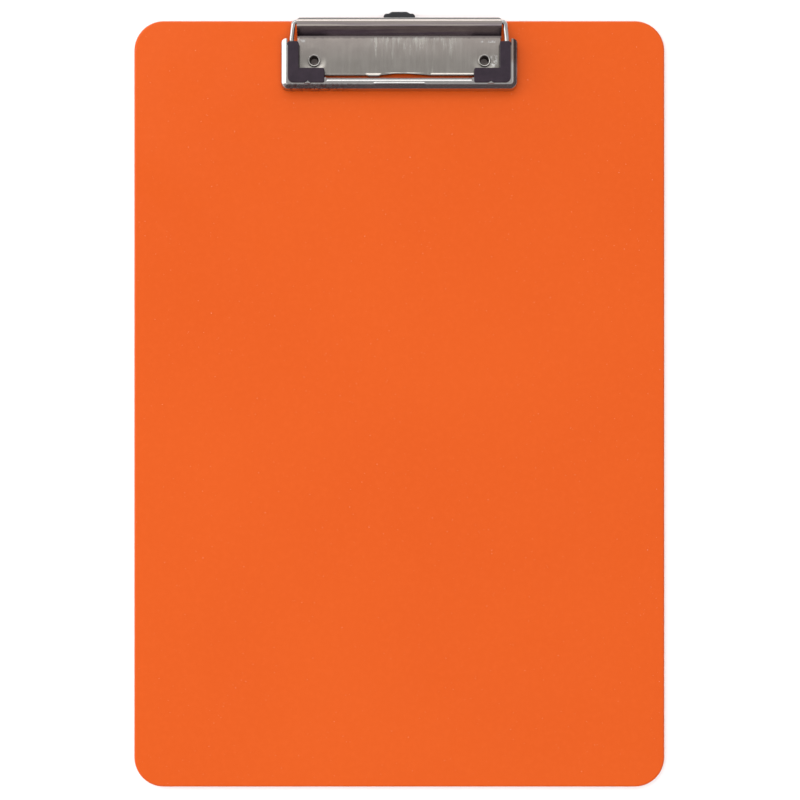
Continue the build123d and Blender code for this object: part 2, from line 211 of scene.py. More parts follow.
def rounded_rect(x0, x1, y0, y1, radii, segments=8):
    """Counter-clockwise outline with one radius per corner, from the lower left round to the upper left."""
    if not hasattr(radii, "__len__"):
        radii = (radii,) * 4
    corners = ((x0, y0, 180), (x1, y0, 270), (x1, y1, 0), (x0, y1, 90))
    signs = ((1, 1), (-1, 1), (-1, -1), (1, -1))
    out = []
    for (x, y, start), (sx, sy), r in zip(corners, signs, radii):
        centre = (x + sx * r, y + sy * r)
        out.extend(arc(centre, r, start, start + 90, 90 / segments))
    return out


class Build:
    """Collects points and faces, then makes one mesh."""

    def __init__(self):
        self.verts, self.faces = [], []

    def ring(self, points, z=None):
        """Adds a row of points, all at height z if one is given, and returns their numbers."""
        first = len(self.verts)
        for p in points:
            self.verts.append((p[0], p[1], z) if z is not None else tuple(p))
        return list(range(first, len(self.verts)))

    def bridge(self, a, b):
        """Joins two closed rings with quads."""
        n = len(a)
        for i in range(n):
            j = (i + 1) % n
            self.faces.append((a[i], a[j], b[j], b[i]))

    def cap(self, ring, flip=False):
        self.faces.append(tuple(reversed(ring)) if flip else tuple(ring))


def circle(centre, radius, count=64):
    turns = [2 * math.pi * i / count for i in range(count)]
    return [(centre[0] + radius * math.cos(t), centre[1] + radius * math.sin(t)) for t in turns]


def inset_outline(points, amount):
    """The outline moved inwards by amount along its own corner normals (counter-clockwise)."""
    pts = np.array(points, float)
    before, after = np.roll(pts, 1, 0), np.roll(pts, -1, 0)
    a, b = pts - before, after - pts
    a /= np.maximum(np.linalg.norm(a, axis=1, keepdims=True), 1e-9)
    b /= np.maximum(np.linalg.norm(b, axis=1, keepdims=True), 1e-9)
    na, nb = np.stack((-a[:, 1], a[:, 0]), 1), np.stack((-b[:, 1], b[:, 0]), 1)
    m = na + nb
    m /= np.maximum((m * na).sum(1, keepdims=True), 1e-6)
    return [tuple(p) for p in pts + m * amount]


def lathe(name, profile, centre, material, count, smooth_deg):
    """A turned piece from (radius, z) pairs; a radius of zero closes an end."""
    build = Build()
    rings = []
    for r, z in profile:
        rings.append(build.ring(circle(centre, r, count) if r else [centre], z))
    for a, b in zip(rings, rings[1:]):
        if len(a) == 1 and len(b) > 1:
            for i in range(count):
                build.faces.append((a[0], b[(i + 1) % count], b[i]))
        elif len(b) == 1 and len(a) > 1:
            for i in range(count):
                build.faces.append((b[0], a[i], a[(i + 1) % count]))
        elif len(a) > 1:
            build.bridge(a, b)
    return new_mesh(name, build.verts, build.faces, material, smooth_deg)


# ---- materials

class Tree:
    """A node tree, with short calls to add and join nodes."""

    def __init__(self, tree):
        self.tree = tree
        tree.nodes.clear()

    def add(self, kind, **values):
        node = self.tree.nodes.new(kind)
        for key, value in values.items():
            setattr(node, key, value)
        return node

    def link(self, a, b):
        self.tree.links.new(a, b)

    def feed(self, socket, value):
        """Joins a socket to another one, or sets it to a number or a colour."""
        if isinstance(value, tuple):
            socket.default_value = (*value, 1.0)
        elif isinstance(value, (int, float)):
            socket.default_value = value
        else:
            self.link(value, socket)

    def ramp(self, value, low, high, out_low=0.0, out_high=1.0, **kind):
        """Carries low..high to out_low..out_high and holds the ends; low may be above high."""
        node = self.add("ShaderNodeMapRange", clamp=True, **kind)
        for key, number in zip(("From Min", "From Max", "To Min", "To Max"), (low, high, out_low, out_high)):
            node.inputs[key].default_value = number
        self.link(value, node.inputs["Value"])
        return node.outputs["Result"]

    def maths(self, kind, a, b):
        node = self.add("ShaderNodeMath", operation=kind)
        self.feed(node.inputs[0], a)
        self.feed(node.inputs[1], b)
        return node.outputs["Value"]

    def plus(self, a, b):
        return self.maths("ADD", a, b)

    def times(self, first, *others):
        for other in others:
            first = self.maths("MULTIPLY", first, other)
        return first

    def split(self, vector):
        """A vector's three parts."""
        parts = self.add("ShaderNodeSeparateXYZ")
        self.link(vector, parts.inputs["Vector"])
        return [parts.outputs[k] for k in "XYZ"]

    def mix(self, factor, a, b):
        """Mixes two colours, each a tuple or a socket."""
        node = self.add("ShaderNodeMix", data_type="RGBA")
        for index, value in ((0, factor), (6, a), (7, b)):
            self.feed(node.inputs[index], value)
        return node.outputs[2]


class Nodes(Tree):
    """A material's node tree; where is the piece's own coordinates in metres."""

    def __init__(self, name):
        self.mat = bpy.data.materials.new(name)
        self.mat.use_nodes = True
        super().__init__(self.mat.node_tree)
        out = self.add("ShaderNodeOutputMaterial")
        self.bsdf = self.add("ShaderNodeBsdfPrincipled")
        self.link(self.bsdf.outputs["BSDF"], out.inputs["Surface"])
        self.where = self.add("ShaderNodeTexCoord").outputs["Object"]

    def stretched(self, scale):
        node = self.add("ShaderNodeMapping")
        node.inputs["Scale"].default_value = scale
        self.link(self.where, node.inputs["Vector"])
        return node.outputs["Vector"]

    def noise(self, scale, detail, rough, vector=None, distortion=0.0):
        node = self.add("ShaderNodeTexNoise")
        numbers = (scale, detail, rough, distortion)
        for key, number in zip(("Scale", "Detail", "Roughness", "Distortion"), numbers):
            node.inputs[key].default_value = number
        self.link(self.where if vector is None else vector, node.inputs["Vector"])
        return node.outputs["Fac"]

    def bump(self, height, distance, strength, normal=None):
        node = self.add("ShaderNodeBump")
        node.inputs["Strength"].default_value = strength
        node.inputs["Distance"].default_value = distance
        self.link(height, node.inputs["Height"])
        if normal is not None:
            self.link(normal, node.inputs["Normal"])
        return node.outputs["Normal"]

    def set(self, **values):
        """Feeds the surface's inputs, which are named with underscores, and returns the material."""
        for key, value in values.items():
            self.feed(self.bsdf.inputs[key.replace("_", " ")], value)
        return self.mat


def board_plastic():
    """Orange moulded plastic: a faint mottle, a few pale specks, a fine grain and a slight unevenness."""
    n = Nodes("board_plastic")
    drift = n.noise(9.0, 2.0, 0.5)
    mottle = n.noise(420.0, 3.0, 0.6)
    colour = n.mix(n.ramp(drift, 0.35, 0.65), (0.652, 0.0865, 0.0030), (0.636, 0.0815, 0.0022))
    colour = n.mix(n.ramp(mottle, 0.45, 0.75, 0.0, 0.06), colour, (0.88, 0.17, 0.03))
    specks = n.ramp(n.noise(1500.0, 1.0, 0.4), 0.79, 0.83)
    colour = n.mix(n.times(specks, 0.35), colour, (0.95, 0.75, 0.6))
    hair = n.ramp(n.noise(26.0, 3.0, 0.5, n.stretched((1.0, 26.0, 1.0)), 1.5), 0.66, 0.70)
    rough = n.ramp(n.noise(60.0, 4.0, 0.6), 0.3, 0.7, 0.30, 0.40)
    rough = n.plus(rough, n.times(hair, 0.05))
    grain = n.noise(1400.0, 2.0, 0.5)
    normal = n.bump(grain, 0.00002, 0.35)
    normal = n.bump(n.noise(14.0, 2.0, 0.5), 0.0004, 0.35, normal)
    return n.set(Base_Color=colour, Roughness=rough, Normal=normal, IOR=1.34)


def plate_marks_and_painted_reflections(n, colour, roughness):
    """The base plate's marks and painted reflections: lighter and browner towards the rear, a painted dark
    reflection on the curl's rear, pale runs below the ramp, and painted dark reflections in bands on the
    ramp.
    """
    x, y, _ = n.split(n.where)
    colour = n.mix(n.ramp(y, 0.147, 0.158, 0.0, 0.6), colour, (0.64, 0.56, 0.52))
    # painted reflection: the rear of the curl is darkened
    colour = n.mix(n.ramp(y, 0.16405, 0.1645, 0.0, 0.80), colour, (0.16, 0.16, 0.16))
    # pale runs, thickest just below the ramp and only over the plate's middle
    middle = n.times(n.ramp(x, -0.016, -0.009), n.ramp(x, 0.030, 0.018), n.ramp(y, 0.1583, 0.1572))
    runs = n.noise(520.0, 4.0, 0.65, n.stretched((1.0, 0.13, 0.0)))
    runs = n.plus(runs, n.ramp(y, 0.1465, 0.1580, -0.16, 0.08))
    runs = n.times(n.ramp(runs, 0.46, 0.68), middle)
    colour = n.mix(n.times(runs, 0.42), colour, (0.74, 0.77, 0.70))
    roughness = n.plus(roughness, n.times(runs, 0.12))
    # painted reflection: long dark, purplish bands on the ramp
    ramp_painted_reflection = n.ramp(n.noise(150.0, 3.0, 0.55, n.stretched((0.10, 3.0, 0.0))), 0.42, 0.62)
    slope = n.times(n.ramp(y, 0.1578, 0.1586), n.ramp(y, 0.1632, 0.1622))
    colour = n.mix(n.times(ramp_painted_reflection, slope, 0.75), colour, (0.26, 0.20, 0.28))
    # painted reflection: a dark, slightly ragged line along the ramp's foot
    wander = n.ramp(n.noise(620.0, 2.0, 0.5, n.stretched((1.0, 0.0, 0.0))), 0.3, 0.7, -0.00025, 0.00025)
    foot = n.times(n.ramp(n.plus(y, wander), 0.1568, 0.1575), n.ramp(y, 0.1592, 0.1584))
    colour = n.mix(n.times(foot, 0.55), colour, (0.12, 0.10, 0.11))
    # pale marks near the right and left rear corners and beside the right rivet
    marks = n.ramp(n.noise(880.0, 3.0, 0.6), 0.46, 0.60)
    for x0, x1, y0, y1 in (
        (0.0345, 0.0425, 0.1549, 0.1563),
        (-0.0445, -0.0400, 0.1552, 0.1567),
        (0.0388, 0.0425, 0.1446, 0.1500),
    ):
        patch = n.times(n.ramp(x, x0, x0 + 0.001), n.ramp(x, x1, x1 - 0.001))
        patch = n.times(patch, n.ramp(y, y0, y0 + 0.0004), n.ramp(y, y1, y1 - 0.0004))
        colour = n.mix(n.times(patch, marks, 0.7), colour, (0.88, 0.88, 0.86))
    return colour, roughness


def jaw_scuffs_and_painted_reflection(n, colour, roughness):
    """The jaw's scuffs on the left half of its front bar, and a painted dull brown reflection on the rear
    half of its right arm.
    """
    x, y, _ = n.split(n.where)
    scuffs = n.ramp(n.noise(760.0, 3.0, 0.6), 0.44, 0.58)
    left_bar = n.times(n.ramp(x, -0.012, -0.030), n.ramp(y, 0.1372, 0.1366))
    scuffs = n.times(scuffs, left_bar)
    colour = n.mix(n.times(scuffs, 0.75), colour, (0.13, 0.09, 0.10))
    roughness = n.plus(roughness, n.times(scuffs, 0.15))
    # painted reflection: the outer side of the right arm's rear half is dulled to brown
    right_arm_painted_reflection = n.times(n.ramp(x, 0.0474, 0.0478), n.ramp(y, 0.1450, 0.1475))
    colour = n.mix(n.times(right_arm_painted_reflection, 0.62), colour, (0.26, 0.17, 0.13))
    return colour, roughness


def bore_painted_shade(n, colour, roughness):
    """Painted shade: a rivet's bore is darkened below its mouth."""
    _, _, z = n.split(n.where)
    colour = n.mix(n.ramp(z, 0.0050, 0.0042, 0.0, 0.90), colour, (0.09, 0.075, 0.07))
    return colour, roughness


def plated(name, tint, rough, wave, marks_and_painted_light=None):
    """Nickel-plated steel with faint cloudiness and polishing lines, and on top a piece's own marks, painted
    shade and painted reflections.
    """
    n = Nodes(name)
    cloud = n.noise(70.0, 4.0, 0.6)
    colour = n.mix(n.ramp(cloud, 0.3, 0.7), tint, tuple(c * 0.92 for c in tint))
    fine = n.noise(900.0, 2.0, 0.6, n.stretched((1.0, 0.08, 1.0)))
    colour = n.mix(n.ramp(fine, 0.4, 0.8, 0.0, 0.08), colour, (0.92, 0.91, 0.88))
    roughness = n.ramp(n.noise(160.0, 5.0, 0.65), 0.3, 0.7, rough[0], rough[1])
    if marks_and_painted_light:
        colour, roughness = marks_and_painted_light(n, colour, roughness)
    scratch = n.noise(350.0, 2.0, 0.5, n.stretched((1.0, 0.03, 1.0)), 0.4)
    normal = n.bump(scratch, 0.000008, 0.3)
    normal = n.bump(n.noise(45.0, 2.0, 0.5), 0.0003, wave, normal)
    return n.set(Base_Color=colour, Roughness=roughness, Metallic=1.0, Normal=normal)


def rubber():
    """Matt black rubber with a purplish cast, a little dust and a fine texture."""
    n = Nodes("grip_rubber")
    mottle = n.ramp(n.noise(300.0, 4.0, 0.6), 0.35, 0.7)
    colour = n.mix(mottle, (0.0161, 0.0085, 0.0161), (0.0253, 0.0143, 0.0244))
    dust = n.ramp(n.noise(1900.0, 2.0, 0.5), 0.66, 0.74)
    colour = n.mix(n.times(dust, 0.10), colour, (0.22, 0.2, 0.24))
    rough = n.ramp(n.noise(240.0, 3.0, 0.5), 0.3, 0.7, 0.42, 0.58)
    normal = n.bump(n.noise(2600.0, 3.0, 0.6), 0.00004, 0.5)
    return n.set(Base_Color=colour, Roughness=rough, Normal=normal, IOR=1.38)


def black_plastic():
    """Black plastic, slightly mottled, with a fine grain."""
    n = Nodes("hanger_plastic")
    mottle = n.ramp(n.noise(220.0, 4.0, 0.6), 0.35, 0.7)
    colour = n.mix(mottle, (0.006, 0.006, 0.008), (0.014, 0.014, 0.017))
    rough = n.ramp(n.noise(400.0, 3.0, 0.5), 0.3, 0.7, 0.34, 0.46)
    normal = n.bump(n.noise(3000.0, 2.0, 0.5), 0.00003, 0.5)
    return n.set(Base_Color=colour, Roughness=rough, Normal=normal, IOR=1.5)


BOARD_MAT = board_plastic()
PLATE_MAT = plated("plate_metal", (0.408, 0.383, 0.348), rough=(0.16, 0.25), wave=0.15, marks_and_painted_light=plate_marks_and_painted_reflections)
JAW_MAT = plated("jaw_metal", (0.515, 0.50, 0.488), rough=(0.12, 0.20), wave=0.12, marks_and_painted_light=jaw_scuffs_and_painted_reflection)
WIRE_MAT = plated("wire_metal", (0.478, 0.469, 0.46), rough=(0.10, 0.18), wave=0.1)
RIVET_MAT = plated("rivet_metal", (0.395, 0.377, 0.354), rough=(0.14, 0.24), wave=0.1, marks_and_painted_light=bore_painted_shade)
RUBBER_MAT = rubber()
HANGER_MAT = black_plastic()

# ---- board

BOARD_HALF_W, BOARD_HALF_L, BOARD_CORNER, BOARD_EDGE = 114.3, 165.1, 12.7, 0.95
EDGE_STEPS = 8
FACE_MARGIN = 0.6
RIVET_X, RIVET_V = 36.6, 17.6
RIVETS = ((-RIVET_X, at(RIVET_V)), (RIVET_X, at(RIVET_V)))
SHANK_HOLE_R, HEAD_HOLE_R, HEAD_SEAT_Z, HOLE_CHAMFER = 2.05, 4.2, 0.9, 0.12


def fill(build, outer, holes, up):
    """Fills between an outer ring and hole rings with triangles facing up or down."""
    bm = bmesh.new()
    made = {}
    edges = []
    for ring in (outer, *holes):
        for i in ring:
            made[i] = bm.verts.new(build.verts[i])
        for a, b in zip(ring, ring[1:] + ring[:1]):
            edges.append(bm.edges.new((made[a], made[b])))
    index = {v: i for i, v in made.items()}
    bmesh.ops.triangle_fill(bm, use_beauty=True, use_dissolve=False, edges=edges)
    for face in bm.faces:
        ring = [index[v] for v in face.verts]
        a, b, c = (Vector(build.verts[i]) for i in ring[:3])
        if ((b - a).cross(c - a).z > 0) != up:
            ring.reverse()
        build.faces.append(tuple(ring))
    bm.free()


def make_board():
    """The slab with round edges, its two rivet holes and the recesses for the rivets' heads at the back."""
    b = Build()
    outline = rounded_rect(-BOARD_HALF_W, BOARD_HALF_W, -BOARD_HALF_L, BOARD_HALF_L, BOARD_CORNER, 24)
    rings = []
    turns = [math.pi / 2 * i / EDGE_STEPS for i in range(EDGE_STEPS + 1)]
    for t in turns:
        inset = BOARD_EDGE * (1 - math.sin(t))
        rings.append(b.ring(inset_outline(outline, inset), BOARD_EDGE * (1 - math.cos(t))))
    for t in turns:
        inset = BOARD_EDGE * (1 - math.cos(t))
        z = BOARD_T - BOARD_EDGE * (1 - math.sin(t))
        rings.append(b.ring(inset_outline(outline, inset), z))
    rings.append(b.ring(inset_outline(outline, BOARD_EDGE + FACE_MARGIN), BOARD_T))
    rings.insert(0, b.ring(inset_outline(outline, BOARD_EDGE + FACE_MARGIN), 0.0))
    for low, top in zip(rings, rings[1:]):
        b.bridge(low, top)
    front_holes, back_holes = [], []
    levels = (
        (SHANK_HOLE_R, BOARD_T), (SHANK_HOLE_R, HEAD_SEAT_Z), (HEAD_HOLE_R, HEAD_SEAT_Z),
        (HEAD_HOLE_R, HOLE_CHAMFER), (HEAD_HOLE_R + HOLE_CHAMFER, 0.0),
    )
    for centre in RIVETS:
        holes = [b.ring(circle(centre, r, 48), z) for r, z in levels]
        for top, low in zip(holes, holes[1:]):
            b.bridge(top, low)
        front_holes.append(holes[0])
        back_holes.append(holes[-1])
    fill(b, rings[-1], front_holes, True)
    fill(b, rings[0], back_holes, False)
    board = new_mesh("board_slab", b.verts, b.faces, BOARD_MAT, 45)
    flat_faces_true(board)
    return place(board, ROOT, ["board"])


make_board()

# ---- base plate

SHEET = 0.8
HINGE_V, HINGE_H = 1.55, 4.5
CURL_OUT, CURL_START = 1.86, -128
SHOULDER_OUT = 3.5
FLAT_H, FLAT_MIDDLE_V, FLAT_FRONT_V = 2.2, 15.0, 22.95
FLANGE_V, FLANGE_FOOT_H, LIP_CREST = 24.15, 0.1, 0.25
HALF_W, SIDE_BEND, CORNER_CUT, UNCUT_X, NEAR_EDGE_X = 43.85, 0.75, 1.3, 40.0, 43.45
SIDE_FLANGE_V, SIDE_FLANGE_DROPS, SLIT = (7.6, 22.0), (1.1, 1.6, 2.1), 0.05
DIMPLE_FLOOR_R, DIMPLE_R, DIMPLE_DEPTH = 2.9, 5.5, 0.3
PLATE_HOLE_R, HOLE_EDGE_R = 2.1, 3.0
ARCH_HALF, ARCH_SHOULDER, ARCH_SHOULDER_H, ARCH_CROWN = 14.0, 1.6, 0.8, 1.3
# where the front flange turns down, and where the lip's shifts and dents fade in
FLANGE_START_V, SHIFT_START_V, DENT_START_V = 23.3, 22.5, 22.9
# the lip's dents and bulges: from x, to x, and how much higher than usual its crest stands there
LIP_DENTS = (
    (-60, -14.2, -0.14), (-13.6, -8.4, 0.07), (-7.8, 0.4, -0.20),
    (0.9, 3.2, 0.12), (3.7, 13.6, -0.17), (14.4, 60, 0.0),
)


def base_profile():
    """Outer line of the plate's sheet as (v, h), from the curl's hidden edge to the front flange's foot."""
    curl = arc((0, 0), CURL_OUT, CURL_START, 90, 8)
    points = [np.array((HINGE_V - c, HINGE_H + s)) for c, s in curl]
    centre = (0.0, CURL_OUT - SHOULDER_OUT)
    shoulder = arc(centre, SHOULDER_OUT, 90, 135, 5)
    points += [np.array((HINGE_V - c, HINGE_H + s)) for c, s in shoulder[1:]]
    ramp_top = points[-1]
    ramp_foot = (ramp_top[0] + ramp_top[1] - FLAT_H, FLAT_H)
    middle = (FLAT_MIDDLE_V, FLAT_H)
    rest = filleted([ramp_top, ramp_foot, middle], (0.5,), 0.36, 8)
    lip = [middle, (FLAT_FRONT_V, FLAT_H), (FLANGE_V, FLAT_H + LIP_CREST), (FLANGE_V, FLANGE_FOOT_H)]
    front = filleted(lip, (0.4, 0.55), 0.2, 9)
    return points + rest[1:] + front[1:]


def lip_rise(x):
    """How much higher than usual the lip's crest stands: the lip is dented and wavy."""
    return sum(rise * smooth_window(x, start, end) for start, end, rise in LIP_DENTS)


def lip_shift(x):
    """How far forward of its usual line the lip lies: a tab stands out and the arch's middle is set back."""
    tab = 0.40 * smooth_window(x, -13.6, -8.4)
    notch = 0.75 * clamped((x + 8.2) / 6.5) * clamped((13.6 - x) / 10.5)
    return tab - notch


def dimple(x, y):
    """Depth of the conical dimples round the rivets."""
    depth = 0.0
    for cx, cy in RIVETS:
        r = math.hypot(x - cx, y - cy)
        t = (r - DIMPLE_FLOOR_R) / (DIMPLE_R - DIMPLE_FLOOR_R)
        depth += DIMPLE_DEPTH * (1 - (0.6 * clamped(t) + 0.4 * smooth_step(t)))
    return depth


def arch_height(x):
    """Height of the front flange's edge over the arch, or None beside it."""
    a = abs(x)
    if a >= ARCH_HALF:
        return None
    knee = ARCH_HALF - ARCH_SHOULDER
    if a > knee:
        return ARCH_SHOULDER_H * (ARCH_HALF - a) / ARCH_SHOULDER
    return ARCH_SHOULDER_H + (ARCH_CROWN - ARCH_SHOULDER_H) * (1 - (a / knee) ** 2)


def make_base():
    """The plate: rows along its section, columns across it, with side flanges and rivet holes."""
    profile = base_profile()
    vs = np.array([p[0] for p in profile])
    bend_row = int(np.argmax(vs > FLANGE_START_V))
    flat_x = HALF_W - SIDE_BEND
    turns = np.radians(np.linspace(0, 90, 7))
    bend = [(flat_x + SIDE_BEND * math.sin(t), SIDE_BEND * (1 - math.cos(t))) for t in turns]
    columns = list(np.linspace(-flat_x, flat_x, 241))
    b = Build()
    grid = {}

    def point(row, x):
        v, h = profile[row]
        limit = arch_height(x)
        if row >= bend_row and limit is not None and limit > FLANGE_FOOT_H - 0.05:
            # the flange's rows are squeezed into what is left of it above the arch
            keep = [p for p in profile[bend_row:] if p[1] >= limit]
            spare = (row - bend_row) / (len(profile) - 1 - bend_row) * (len(keep) - 1)
            i = min(int(spare), len(keep) - 2)
            f = spare - i
            v, h = (keep[i][k] * (1 - f) + keep[i + 1][k] * f for k in (0, 1))
        if v > SHIFT_START_V:
            v += lip_shift(x) * min(1.0, (v - SHIFT_START_V) / 1.5)
        y = at(v)
        if v > DENT_START_V:
            h += lip_rise(x) * min(1.0, (v - DENT_START_V) / 0.9) * smooth_step((h - 0.2) / 1.6)
        return x, y, high(h) - dimple(x, y)

    def nip(row, x):
        """The curl's rear corners are cut off at 45 degrees."""
        v = profile[row][0]
        top = HALF_W - max(0.0, CORNER_CUT - (v - (HINGE_V - CURL_OUT)))
        a = abs(x)
        if a > UNCUT_X and top < HALF_W:
            a = UNCUT_X + (a - UNCUT_X) * (top - UNCUT_X) / (HALF_W - UNCUT_X)
        return math.copysign(a, x)

    for row in range(len(profile)):
        for col, x in enumerate(columns):
            grid[row, col] = len(b.verts)
            b.verts.append(point(row, nip(row, x)))
    last = len(columns) - 1
    for row in range(len(profile) - 1):
        for col in range(last):
            b.faces.append((grid[row, col], grid[row + 1, col], grid[row + 1, col + 1], grid[row, col + 1]))
    flanged = [r for r in range(len(profile)) if SIDE_FLANGE_V[0] <= vs[r] <= SIDE_FLANGE_V[1]]
    first_f, last_f = flanged[0], flanged[-1]
    level = [(NEAR_EDGE_X, 0.0), (HALF_W, 0.0)]
    turned_down = bend[1:] + [(HALF_W, drop) for drop in SIDE_FLANGE_DROPS]
    strips = (
        (range(0, first_f + 1), level),
        (range(first_f, last_f + 1), turned_down),
        (range(last_f, len(profile)), level),
    )
    for side, edge_col in ((-1, 0), (1, last)):
        for rows, steps in strips:
            net = {}
            for r in rows:
                net[r, 0] = grid[r, edge_col]
                for k, (x, drop) in enumerate(steps, 1):
                    net[r, k] = len(b.verts)
                    px, py, pz = point(r, nip(r, side * x))
                    if steps is turned_down:
                        # a slit at each end parts the flange from the level edge
                        py += {rows[0]: -SLIT, rows[-1]: SLIT}.get(r, 0.0)
                    b.verts.append((px, py, pz - drop))
            for r, nxt in zip(rows, rows[1:]):
                for k in range(len(steps)):
                    quad = (net[r, k], net[nxt, k], net[nxt, k + 1], net[r, k + 1])
                    b.faces.append(quad if side > 0 else tuple(reversed(quad)))
    faces = open_rivet_holes(b)
    plate = new_mesh("base_plate", b.verts, faces, PLATE_MAT, 40)
    turn_outwards(plate)
    solidify(plate, SHEET, 0.12)
    return place(plate, ROOT, ["clip_base"])


def open_rivet_holes(build):
    """Returns the faces outside the rivet holes and pulls the edge left round each hole onto its circle."""
    pts = np.array(build.verts)
    gone = set()
    for cx, cy in RIVETS:
        r = np.hypot(pts[:, 0] - cx, pts[:, 1] - cy)
        gone |= set(np.nonzero(r < PLATE_HOLE_R)[0].tolist())
    faces = [f for f in build.faces if not any(i in gone for i in f)]
    used = {}
    for f in faces:
        for i, j in zip(f, f[1:] + f[:1]):
            key = (min(i, j), max(i, j))
            used[key] = used.get(key, 0) + 1
    for k in (k for edge, count in used.items() if count == 1 for k in edge):
        for cx, cy in RIVETS:
            dx, dy = build.verts[k][0] - cx, build.verts[k][1] - cy
            r = math.hypot(dx, dy)
            if r < HOLE_EDGE_R:
                build.verts[k] = (cx + dx / r * PLATE_HOLE_R, cy + dy / r * PLATE_HOLE_R, build.verts[k][2])
    return faces


def turn_outwards(obj):
    """Turns the sheet's normals up and out, since its thickness goes the other way."""
    bm = bmesh.new()
    bm.from_mesh(obj.data)
    bm.faces.ensure_lookup_table()
    total = sum(f.normal.z * f.calc_area() for f in bm.faces)
    if total < 0:
        bmesh.ops.reverse_faces(bm, faces=bm.faces)
    bm.to_mesh(obj.data)
    bm.free()


make_base()


def ccw(points):
    """The closed outline, turned counter-clockwise if it isn't."""
    area = sum(a[0] * b[1] - b[0] * a[1] for a, b in zip(points, points[1:] + points[:1]))
    return points if area > 0 else points[::-1]


def rounded_polygon(points, radii, segments=7):
    """Closed counter-clockwise outline with one radius per corner."""
    out = []
    for i, radius in enumerate(radii):
        before, corner, after = (np.array(points[j % len(points)], float) for j in (i - 1, i, i + 1))
        reach = 1.5 * radius + 0.01
        a = corner + (before - corner) / np.linalg.norm(before - corner) * reach
        b = corner + (after - corner) / np.linalg.norm(after - corner) * reach
        out.extend(filleted([a, corner, b], (radius,), 100, 90 / segments)[1:-1])
    return ccw([tuple(p) for p in out])


def soft_prism(name, outline, z0, z1, foot_r, top_r, material, holes=(), segments=5):
    """An upright prism of an outline with rounded foot and top edges; holes are (centre, radius)."""
    b = Build()
    levels = []
    turns = [math.pi / 2 * i / segments for i in range(segments + 1)]
    levels += [(foot_r * (1 - math.sin(t)), z0 + foot_r * (1 - math.cos(t))) for t in turns]
    levels += [(top_r * (1 - math.cos(t)), z1 - top_r * (1 - math.sin(t))) for t in turns]
    rings = [b.ring(inset_outline(outline, inset), z) for inset, z in levels]
    for low, top in zip(rings, rings[1:]):
        b.bridge(low, top)
    hole_rings = []
    for centre, radius in holes:
        drops = [(radius + inset, z) for inset, z in levels]
        hole_rings.append([b.ring(circle(centre, r, 64), z) for r, z in drops])
        for low, top in zip(hole_rings[-1], hole_rings[-1][1:]):
            b.bridge(top, low)
    fill(b, rings[-1], [h[-1] for h in hole_rings], True)
    fill(b, rings[0], [h[0] for h in hole_rings], False)
    return new_mesh(name, b.verts, b.faces, material, 40)


def combine(obj, others, how="UNION"):
    """Joins the others to the object, or cuts them from it, and removes them."""
    for other in others:
        mod = obj.modifiers.new("combine", "BOOLEAN")
        mod.operation = how
        mod.solver = "EXACT"
        mod.object = other
    baked(obj)
    for other in others:
        mesh = other.data
        bpy.data.objects.remove(other)
        bpy.data.meshes.remove(mesh)
    return obj


def word_for(side):
    return "left" if side < 0 else "right"


FINGER_X, FINGER_HALF_W, FINGER_V, FINGER_H = 8.2, 1.0, (1.75, 2.55), (0.06, 2.95)


def make_finger(side):
    """A finger on the curl's hidden edge, beside the hanger's neck."""
    x0, x1 = side * FINGER_X - FINGER_HALF_W, side * FINGER_X + FINGER_HALF_W
    plan = rounded_rect(x0, x1, at(FINGER_V[1]), at(FINGER_V[0]), 0.2, 4)
    name = "curl_finger_" + word_for(side)
    finger = soft_prism(name, plan, high(FINGER_H[0]), high(FINGER_H[1]), 0.1, 0.1, PLATE_MAT)
    return place(finger, ROOT, ["clip_base"])


for side in SIDES:
    make_finger(side)

# ---- spring wire

WIRE_R, WIRE_FRONT_V = 1.0, 27.3
TAIL_X, TAIL_CORNER_X, ARM_X, ARM_KNEE_V = 2.0, 45.2, 46.1, 9.0
TAIL_BEND_R, ARM_KNEE_R, FRONT_BEND_R = 1.5, 12.0, 3.0
WIRE_Z = high(HINGE_H)
# how the wire's cut ends are rounded over: distance from the end, share of the radius
CUT_END = ((0.0, 0.72), (0.05, 0.86), (0.14, 0.95), (0.28, 1.0))


def swept(name, path, section, material, smooth_deg=40):
    """A bar along a level path of (x, y) points; section gives its (across, up) points at each of them."""
    b = Build()
    pts = [np.array(p, float) for p in path]
    rings = []
    for i, p in enumerate(pts):
        a, c = pts[max(0, i - 1)], pts[min(len(pts) - 1, i + 1)]
        t = (c - a) / np.linalg.norm(c - a)
        across = (t[1], -t[0])
        points = [(p[0] + across[0] * u, p[1] + across[1] * u, WIRE_Z + w) for u, w in section(i)]
        rings.append(b.ring(points))
    for a, c in zip(rings, rings[1:]):
        b.bridge(a, c)
    b.cap(rings[0], flip=True)
    b.cap(rings[-1])
    return new_mesh(name, b.verts, b.faces, material, smooth_deg)


def make_wire():
    """One bent wire: a tail in each half of the curl, an arm on each side and the run across the front."""
    half = [
        (TAIL_X, HINGE_V), (TAIL_CORNER_X, HINGE_V), (ARM_X, ARM_KNEE_V),
        (ARM_X, WIRE_FRONT_V), (-1.0, WIRE_FRONT_V),
    ]
    half = [(x, at(v)) for x, v in half]
    right = [p for p in filleted(half, (TAIL_BEND_R, ARM_KNEE_R, FRONT_BEND_R), 1.5, 6) if p[0] >= 0]
    path = right + [np.array((-p[0], p[1])) for p in reversed(right)]
    starts = [path[0] + np.array((d, 0.0)) for d, _ in CUT_END]
    ends = [path[-1] - np.array((d, 0.0)) for d, _ in reversed(CUT_END)]
    body = path[1:-1]
    shares = [share for _, share in CUT_END]
    sizes = shares + [1.0] * len(body) + shares[::-1]
    ring = circle((0, 0), WIRE_R, 28)

    def section(i):
        return [(u * sizes[i], w * sizes[i]) for u, w in ring]

    wire = swept("spring_wire_rod", starts + body + ends, section, WIRE_MAT, 50)
    return place(wire, JAW, ["spring_wire"])


make_wire()

# ---- jaw

